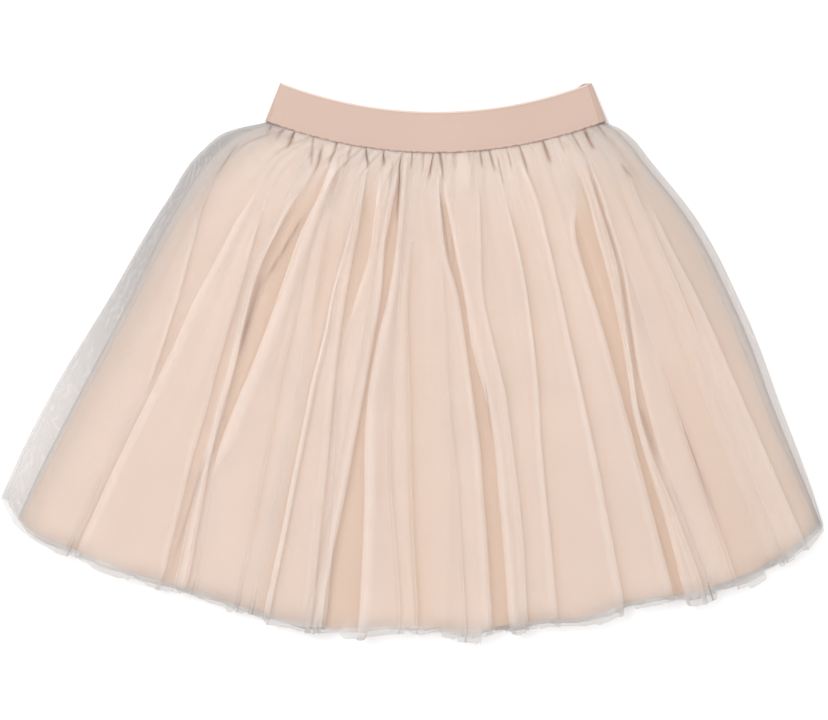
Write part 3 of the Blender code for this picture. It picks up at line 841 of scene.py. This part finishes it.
def add_band_marks(finish):
    """Colours the elastic: a pale selvedge on top, a broken seam line of stitches and painted shade below,
    and a lap near one end with painted shade, as on the back of the loop.
    """
    tree = finish.node_tree
    colour = tree.nodes["Principled BSDF"].inputs["Base Color"]
    cloth = colour.links[0].from_socket
    across = math_node(tree, "SUBTRACT", attribute(tree, "across"), 0.5)
    across = math_node(tree, "MULTIPLY", across, WHOLE_ACROSS)
    down = attribute(tree, "down")
    cloth = mixed(tree, cloth, SELVEDGE_COLOUR, ranged(tree, down, 0.022, 0.032, 1.0, 0.0))
    noise = tree.nodes.new("ShaderNodeTexNoise")
    noise.noise_dimensions = "1D"
    noise.inputs["Scale"].default_value = 1.6
    wire(tree, across, noise.inputs["W"])
    broken = ranged(tree, noise.outputs["Fac"], 0.44, 0.56, 0.15, 1.0)
    # broken dashes of stitches and painted shade where the gathers meet the seam
    stitches_and_painted_seam_shade = math_node(tree, "MULTIPLY", ranged(tree, down, 0.968, 0.98, 0.0, 1.0), broken)
    cloth = mixed(tree, cloth, STITCH_AND_PAINTED_SEAM_SHADE_COLOUR, stitches_and_painted_seam_shade)
    slant = math_node(tree, "ADD", math_node(tree, "MULTIPLY", down, LAP_SLANT), LAP_ANGLE)
    past_lap = math_node(tree, "SUBTRACT", across, slant)
    # painted shade over the lap
    cloth = mixed(tree, cloth, PAINTED_BAND_SHADE_COLOUR, ranged(tree, past_lap, 0.0, 0.03, 0.0, 0.7))
    line = ranged(tree, math_node(tree, "ABSOLUTE", past_lap), 0.03, 0.06, 0.7, 0.0)
    cloth = mixed(tree, cloth, STITCH_AND_PAINTED_SEAM_SHADE_COLOUR, line)
    # painted shade on the back of the loop
    cloth = mixed(tree, cloth, PAINTED_BAND_SHADE_COLOUR, attribute(tree, "behind"))
    wire(tree, cloth, colour)


ELASTIC = woven("elastic_weave", (0.53, 0.389, 0.325), 0.0007, 0.00015, 0.5, 0.2)
add_band_marks(ELASTIC)
print("finishes made:", len(bpy.data.materials))

# %% [markdown]
# Tulle doesn't fray, so its hem is left raw, just cut. The cut is uneven: where the net was folded under the
# shears, short steps are left when it opens. The last rows of the grid are moved down or up by a table of
# such steps, and the cut threads, which are pushed together, are marked: they cover more, and a painted
# dark shade makes them show a little darker.

# %% The raw hem and the sides
HEM_TABS = (
    # from angle, to angle, extra length in mm
    (-23.7, -22.8, 1.5),
    (-21.1, -18.8, 1.3),
    (-18.7, -17.8, -0.8),
    (-17.2, -16.3, 1.0),
    (-15.6, -12.9, -1.2),
    (-12.7, -12.3, 2.0),
    (-11.7, -10.3, -1.8),
    (-10.2, -7.2, 1.0),
    (-5.6, -4.2, 4.5),
    (-4.2, -1.9, 2.0),
    (-1.6, -0.6, 1.0),
    (-0.4, 0.3, -1.5),
    (0.3, 1.3, 2.0),
    (1.3, 2.75, 3.8),
    (2.75, 4.2, -1.4),
    (4.6, 5.4, 2.4),
    (5.7, 7.3, -0.8),
    (8.5, 9.8, 0.6),
    (9.8, 11.4, 2.4),
    (11.4, 12.15, -3.0),
    (13.8, 15.2, -1.4),
    (15.2, 17.05, 2.8),
    (17.05, 18.3, -2.6),
    (19.0, 20.2, 2.2),
    (20.2, 21.2, -4.0),
    (22.2, 22.8, -1.8),
    (23.1, 24.6, 2.2),
)
RAGGED = 0.0004
WAVY = 0.0006


def cut_hem(angles, shares, seed, stepped):
    """Extra length at the hem row: steps where the net was cut unevenly, and a small raggedness."""
    rng = np.random.default_rng(seed)
    extra = np.zeros_like(angles)
    for low, high, more in HEM_TABS:
        extra += stepped * more * 0.001 * ((angles > low) & (angles < high))
    ragged = rng.normal(0, RAGGED, angles.shape[1]) + WAVY * np.sin(angles[-1] * 1.9 + seed)
    return (extra + ragged) * eased((shares[:, None] / shares.max() - 0.965) / 0.035)


def cut_edge(shares):
    """1 on the last millimetre above the hem, where the cut threads are pushed together."""
    return np.where(shares[:, None] > shares.max() - 0.002, 1.0, 0.0)


def side_edge(angles, left, right, radius, width):
    """1 on the last bit at each side, where the net turns under and is seen edge on."""
    return 1 - eased(from_side(angles, left, right, radius) / width - 1)


print("steps in the raw hem:", len(HEM_TABS))

# %% [markdown]
# Net over the peach lining looks peach, but net on its own looks grey, and so does net whose lining curves
# away below it. The thread itself stays white. Its shade could be left to the light alone, but so thin a
# sheet over a bright table hardly shades itself, so a value stated here paints grey shade on it near the
# sides and the hem.

# %% Painted shade where the net hangs bare
LINING_HEM = 0.986


def lining_hem(angles):
    """How far down the lining hangs, as a share: lowest left of the middle and higher at the right."""
    return LINING_HEM + 0.005 * np.exp(-(((angles + 4) / 4) ** 2)) - 0.006 * eased((angles - 15) / 3)


def painted_bare_net_shade(angles, shares):
    """How much painted grey shade the net takes: most at the sides and below the lining's hem, where only net
    lies behind.
    """
    down = shares[:, None]
    at_right = angles > 0
    inwards = from_side(angles, *tube_sides("inner", shares), fan_radius(angles, down))
    upwards = (lining_hem(angles) - down) * SKIRT_LENGTH
    low = eased((down - 0.3) / 0.5)
    beside = np.where(at_right, 0.50, 1.0 - 0.30 * low) * (1 - eased((inwards + 0.001) / 0.006))
    below = 0.80 * (1 - eased((upwards + 0.001) / 0.002))
    # painted shade that reaches in from the sides, and painted shade just above the lining's hem
    reach = np.where(at_right, 0.045 - 0.020 * low, 0.032 - 0.006 * low)
    shaded = np.where(at_right, 0.35, 0.50 - 0.10 * low) * (1 - eased(inwards / reach))
    near_hem = (0.40 + 0.12 * np.sin(angles * 1.3)) * (1 - eased(upwards / 0.017)) ** 2
    return 1 - (1 - np.maximum(beside, shaded)) * (1 - np.maximum(below, near_hem))


def thinned(angles, shares, painted_bare_shade):
    """How much less the threads cover where the slack outer net stands away at the lower left."""
    down = shares[:, None]
    return 0.12 * painted_bare_shade * eased((down - 0.45) / 0.4) * (1 - eased((down - 0.94) / 0.02)) * (angles < 0)


print("lining's hem in mm above the net's:", round((1 - LINING_HEM) * SKIRT_LENGTH * 1000, 1))

# %% [markdown]
# Both fronts share the stated folds, because gathered cloths that are sewn together fold together. The
# inner one's folds are a little smaller and its edges lie a little further in, so that its edges show
# through the outer net as a second, softer line.

# %% The two net fronts
SIDE_LEVEL = 0.0016
SEAM_PUFF = 0.0010
CREASED_TO = 0.15
CREASE_DEPTH = 0.0022
EDGE_WIDTHS = {"outer": 0.0008, "inner": 0.0016}
STEPPED = {"outer": 1.0, "inner": 0.4}
FOLD_SEED = 7


def net_front(name, tube, rows, hem, base, seam, shrink, inset, seed, finish, fall, painted_edge_shade):
    """One net front: the stated folds, small gathers below the seam and long fine lines."""
    shares = rows_down(rows, hem)
    left, right = tube_sides(tube, shares)
    points = fold_points(shares, left, right, shrink, inset, FOLD_SEED)
    angles, lifted, bunching = led_through(*points, SEAM_RADIUS + shares * SKIRT_LENGTH)
    sides = (left, right)
    near_seam = small_gathers(shares, 34, 0.25, 2.4 * shrink, FOLD_SEED, sides, (0.06, 0.2), (0.28, 0.5))
    long_lines = small_gathers(shares, 44, 0.09, 0.8 * shrink, seed + 1, sides, (0.35, 1.6), (0.24, 0.5))
    moved, raised, bunched = lay_gathers(angles, near_seam, long_lines)
    drawn, crease_depth_and_painted_shade = creases(angles + 0.5 * (moved - angles), shares)
    down = shares[:, None]
    moved += drawn * (down < CREASED_TO)
    raised -= CREASE_DEPTH * crease_depth_and_painted_shade * (down < CREASED_TO)
    inside = side_fall(angles, left, right, fan_radius(angles, down), fall)
    moved = angles + (moved - angles) * eased(inside * 1.2)
    moved = np.clip(moved, left[:, None], right[:, None])
    puffed = seam + SEAM_PUFF * eased(down / 0.008)
    level = puffed + (base - puffed) * eased((down + 0.004) / 0.09)
    held_in = 0.12 + 0.88 * eased((down + 0.008) / 0.022)
    height = SIDE_LEVEL + (level - SIDE_LEVEL) * inside + (raised + lifted) * held_in * eased(inside)
    extra = cut_hem(moved, shares, seed + 2, STEPPED[tube])
    radius = fan_radius(moved, down) + extra
    # how much painted grey shade the net takes; it also thickens the threads
    painted_bare_shade = painted_bare_net_shade(moved, shares)
    # the cut and edge-on threads: more thread there, and painted dark shade
    edge = np.maximum(cut_edge(shares), side_edge(moved, left, right, radius, EDGE_WIDTHS[tube]))
    gathering = bunching + 0.06 * bunched + 0.25 * (1 - eased(down / 0.16))
    gathering += (0.9 - gathering) * crease_depth_and_painted_shade
    gathering += 0.4 * painted_bare_shade * (1 - eased(down / 0.7)) + 0.5 * edge + 0.4 * eased(extra / 0.0015)
    if tube == "outer":
        gathering -= thinned(moved, shares, painted_bare_shade)
    # Three of these values paint shade into the net's colour: grey where bare, brown in creases, dark at
    # edges.
    values = {"gathering": gathering, "painted_bare_shade": painted_bare_shade, "crease_depth_and_painted_shade": crease_depth_and_painted_shade, "edge": painted_edge_shade * edge}
    piece, cut = cloth_sheet(name, fan_point(moved, radius, height), values)
    piece.data.materials.append(finish)
    return piece


outer_front = net_front(
    "outer_net_front", "outer", rows=115, hem=1.0, base=0.0100, seam=0.0054, shrink=1.0, inset=0.0,
    seed=7, finish=OUTER_NET, fall=0.016, painted_edge_shade=0.30,
)
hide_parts("tulle_outer_front")
inner_front = net_front(
    "inner_net_front", "inner", rows=105, hem=0.994, base=0.0078, seam=0.0044, shrink=0.82, inset=0.22,
    seed=21, finish=INNER_NET, fall=0.013, painted_edge_shade=0.80,
)
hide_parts("tulle_inner_front")
print("net fronts laid:", outer_front.name, inner_front.name)

# %% [markdown]
# The backs lie flat on the table under everything. Their folds are pressed nearly flat, so they lean a lot
# and stand up little.

# %% The two net backs
def net_back(name, tube, columns, rows, hem, level, seam, seed, finish):
    """One net back: pleats pressed flat at uneven distances, hardly raised, facing the table."""
    shares = rows_down(rows, hem)
    down = shares[:, None]
    left, right = tube_sides(tube, shares)
    angles = left[:, None] + (right - left)[:, None] * np.linspace(0, 1, columns)
    pressed = small_gathers(shares, 26, 1.5, 0.9, seed, (left, right), (0.9, 3.0), (0.5, 0.9))
    near_seam = small_gathers(shares, 50, 0.5, 0.8, seed + 1, (left, right))
    moved, raised, bunched = lay_gathers(angles, pressed, near_seam)
    inside = side_fall(angles, left, right, fan_radius(angles, down), 0.010)
    moved = np.clip(angles + (moved - angles) * eased(inside), left[:, None], right[:, None])
    flat = seam + (level - seam) * eased((down + 0.004) / 0.05)
    height = SIDE_LEVEL + (flat - SIDE_LEVEL) * inside + raised * 0.6 * inside
    radius = fan_radius(moved, down) + cut_hem(-moved, shares, seed + 2, 0.5)
    # how much painted grey shade the net takes; it also thickens the threads
    painted_bare_shade = painted_bare_net_shade(moved, shares)
    gathering = 0.42 + 0.3 * bunched + 0.35 * (1 - eased(down / 0.16))
    gathering += 0.4 * painted_bare_shade * (1 - eased(down / 0.7))
    gathering += 0.5 * side_edge(moved, left, right, radius, EDGE_WIDTHS[tube])
    if tube == "outer":
        gathering -= thinned(moved, shares, painted_bare_shade)
    values = {"gathering": gathering, "painted_bare_shade": painted_bare_shade}
    piece, cut = cloth_sheet(name, fan_point(moved, radius, height), values, faces_down=True)
    piece.data.materials.append(finish)
    return piece


outer_back = net_back("outer_net_back", "outer", 420, 70, 0.994, 0.0004, 0.0018, 41, OUTER_NET)
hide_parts("tulle_outer_back")
inner_back = net_back("inner_net_back", "inner", 380, 64, 0.988, 0.0012, 0.0022, 52, INNER_NET)
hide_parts("tulle_inner_back")
print("net backs laid:", outer_back.name, inner_back.name)

# %% [markdown]
# The lining is opaque, so its own colour is what the nets tint. It is less full than the nets: a few broad
# folds that stay low, and a narrow turned hem.

# %% The lining
LINING_FOLDS = (
    # angle at the seam, angle at the hem, side, lean, half width, height in mm
    (-17.0, -22.0, 1, 0.8, 1.3, 2.0),
    (-13.0, -17.6, -1, 0.9, 1.2, 2.6),
    (-9.8, -13.0, 1, 0.7, 1.3, 2.2),
    (-6.6, -9.4, 1, 1.1, 1.0, 2.8),
    (-3.2, -5.6, -1, 0.7, 1.1, 2.0),
    (0.4, -0.6, 1, 1.0, 1.2, 2.6),
    (4.2, 4.8, 1, 0.8, 1.2, 2.2),
    (8.0, 9.4, -1, 0.9, 1.1, 2.6),
    (11.6, 13.4, 1, 1.1, 1.2, 2.4),
    (15.2, 18.4, -1, 0.8, 1.1, 2.6),
    (18.2, 22.0, 1, 0.6, 0.9, 1.8),
)
LINING_WALL = 0.0003
LINING_SIDE = 0.0032
TURNED_HEM = 0.010


def lining_panel(name, columns, rows, level, seam, lift, seed, faces_down):
    """One panel of the lining: broad low folds, gathers at the seam and a turned hem."""
    shares = rows_down(rows, LINING_HEM)
    down = shares[:, None]
    left, right = tube_sides("lining", shares)
    angles = left[:, None] + (right - left)[:, None] * np.linspace(0, 1, columns)
    table = np.array(LINING_FOLDS)
    ones = np.ones((rows, len(table)))
    roots = table[:, 0] + (table[:, 1] - table[:, 0]) * down
    opening = eased((down + 0.02) / 0.12)
    pushes = table[:, 2] * table[:, 3] * opening
    broad = (roots, pushes, table[:, 4] * ones, lift * 0.001 * table[:, 5] * opening)
    near_seam = small_gathers(shares, 44, 0.25, 1.4 * lift, seed, (left, right), (0.04, 0.2))
    moved, raised, _ = lay_gathers(angles, broad, near_seam)
    inside = side_fall(angles, left, right, fan_radius(angles, down), 0.008)
    moved = np.clip(angles + (moved - angles) * inside, left[:, None], right[:, None])
    flat = seam + (level - seam) * eased((down + 0.004) / 0.06)
    turned = eased(((down - LINING_HEM) * SKIRT_LENGTH + TURNED_HEM) / 0.0008)
    height = LINING_SIDE + (flat - LINING_SIDE) * inside + raised * inside + LINING_WALL * turned
    hung = down * lining_hem(moved) / LINING_HEM
    piece, cut = cloth_sheet(name, fan_point(moved, fan_radius(moved, hung), height), {}, faces_down)
    piece.data.materials.append(LINING_CLOTH)
    wall = piece.modifiers.new("wall", "SOLIDIFY")
    wall.thickness = LINING_WALL
    wall.offset = 0.0
    return piece


lining_front = lining_panel("lining_cloth_front", 360, 80, 0.0046, 0.0038, 1.0, 61, False)
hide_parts("lining_front")
lining_back = lining_panel("lining_cloth_back", 240, 50, 0.0026, 0.0028, 0.12, 62, True)
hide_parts("lining_back")
print("lining's broad folds:", len(LINING_FOLDS))

# %% [markdown]
# The waistband is one loop of woven elastic, pressed flat. Its section is a flat ring, so a grid is wrapped
# round the ring and given a wall. Both edges of woven elastic end in a thin firm cord, the selvedge.

# %% The waistband's section
BAND_WALL = 0.0012
BAND_TOP_HEIGHT = 0.0034
BAND_SEAM_HEIGHT = 0.0066
BAND_COLUMNS = 300
TURN_COLUMNS = 10
TOP_ROWS = (0, 0.012, 0.028, 0.042, 0.055, 0.075, 0.12)
MIDDLE_ROWS = (0.25, 0.4, 0.55, 0.7, 0.82)
SEAM_ROWS = (0.9, 0.93, 0.95, 0.965, 0.98, 0.992, 1.0)
BAND_ROW_SHARES = TOP_ROWS + MIDDLE_ROWS + SEAM_ROWS


def selvedge(share):
    """The raised cord along both edges and the slight dip beside it, in metres."""
    edge = np.minimum(share, 1 - share) * BAND_WIDTH
    cord = 0.00022 * np.exp(-(((edge - 0.0006) / 0.0006) ** 2))
    dip = 0.00010 * np.exp(-(((edge - 0.0019) / 0.0006) ** 2))
    return cord - dip


def band_ring(share):
    """(angle, height) all round the flattened loop, at a share of the band's width down from the top."""
    top = BAND_TOP_HEIGHT + (BAND_SEAM_HEIGHT - BAND_TOP_HEIGHT) * eased(share) - BAND_WALL / 2
    bottom = BAND_WALL / 2
    radius = BAND_TOP_RADIUS + share * BAND_WIDTH
    reach = (top - bottom) / 2
    end = BAND_HALF_ANGLE - math.degrees((reach + BAND_WALL / 2) / radius)
    across = np.linspace(-end, end, BAND_COLUMNS + 1)[:-1]
    turn = np.pi * np.arange(TURN_COLUMNS) / TURN_COLUMNS
    bulge = np.degrees(reach * np.sin(turn) / radius)
    pucker = 0.00004 * np.sin(across * 7.3 + 1.1 * np.sin(across * 1.7)) * share**2
    angle = np.concatenate([across, end + bulge, -across, -end - bulge])
    height = np.concatenate(
        [
            np.full(BAND_COLUMNS, top) + selvedge(share) + pucker,
            (top + bottom) / 2 + reach * np.cos(turn),
            np.full(BAND_COLUMNS, bottom),
            (top + bottom) / 2 - reach * np.cos(turn),
        ]
    )
    return angle, height


print("rows down the band:", len(BAND_ROW_SHARES))

# %% [markdown]
# The grid goes once round the loop, and its two ends are welded, so the band has no gap. The back of the
# loop has slipped up a little at the right, where its end shows above the front's top edge.

# %% The waistband
SLIP = 0.0016
SLIP_ANGLE = 20.2


def waistband():
    """The whole loop as one welded sheet with a wall."""
    rings = [band_ring(share) for share in BAND_ROW_SHARES]
    angles = np.array([ring[0] for ring in rings])
    heights = np.array([ring[1] for ring in rings])
    angles = np.concatenate([angles, angles[:, :1]], axis=1)
    heights = np.concatenate([heights, heights[:, :1]], axis=1)
    down = np.array(BAND_ROW_SHARES)[:, None] * np.ones_like(angles)
    behind = np.arange(angles.shape[1]) > BAND_COLUMNS + TURN_COLUMNS / 2
    slipped = SLIP * np.exp(-(((angles - SLIP_ANGLE) / 0.7) ** 2)) * behind * (1 - eased(down / 0.4))
    # behind marks the back of the loop, which takes painted shade
    values = {"across": angles / WHOLE_ACROSS + 0.5, "down": down, "behind": behind * np.ones_like(angles)}
    radii = BAND_TOP_RADIUS + BAND_WIDTH * down - slipped
    piece, cut = cloth_sheet("elastic_band", fan_point(angles, radii, heights), values)
    welded = bmesh.new()
    welded.from_mesh(piece.data)
    bmesh.ops.remove_doubles(welded, verts=welded.verts[:], dist=1e-6)
    welded.to_mesh(piece.data)
    welded.free()
    piece.data.materials.append(ELASTIC)
    wall = piece.modifiers.new("wall", "SOLIDIFY")
    wall.thickness = BAND_WALL
    wall.offset = 0.0
    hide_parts("waistband")
    return piece


band = waistband()
print("band made of vertices:", len(band.data.vertices))
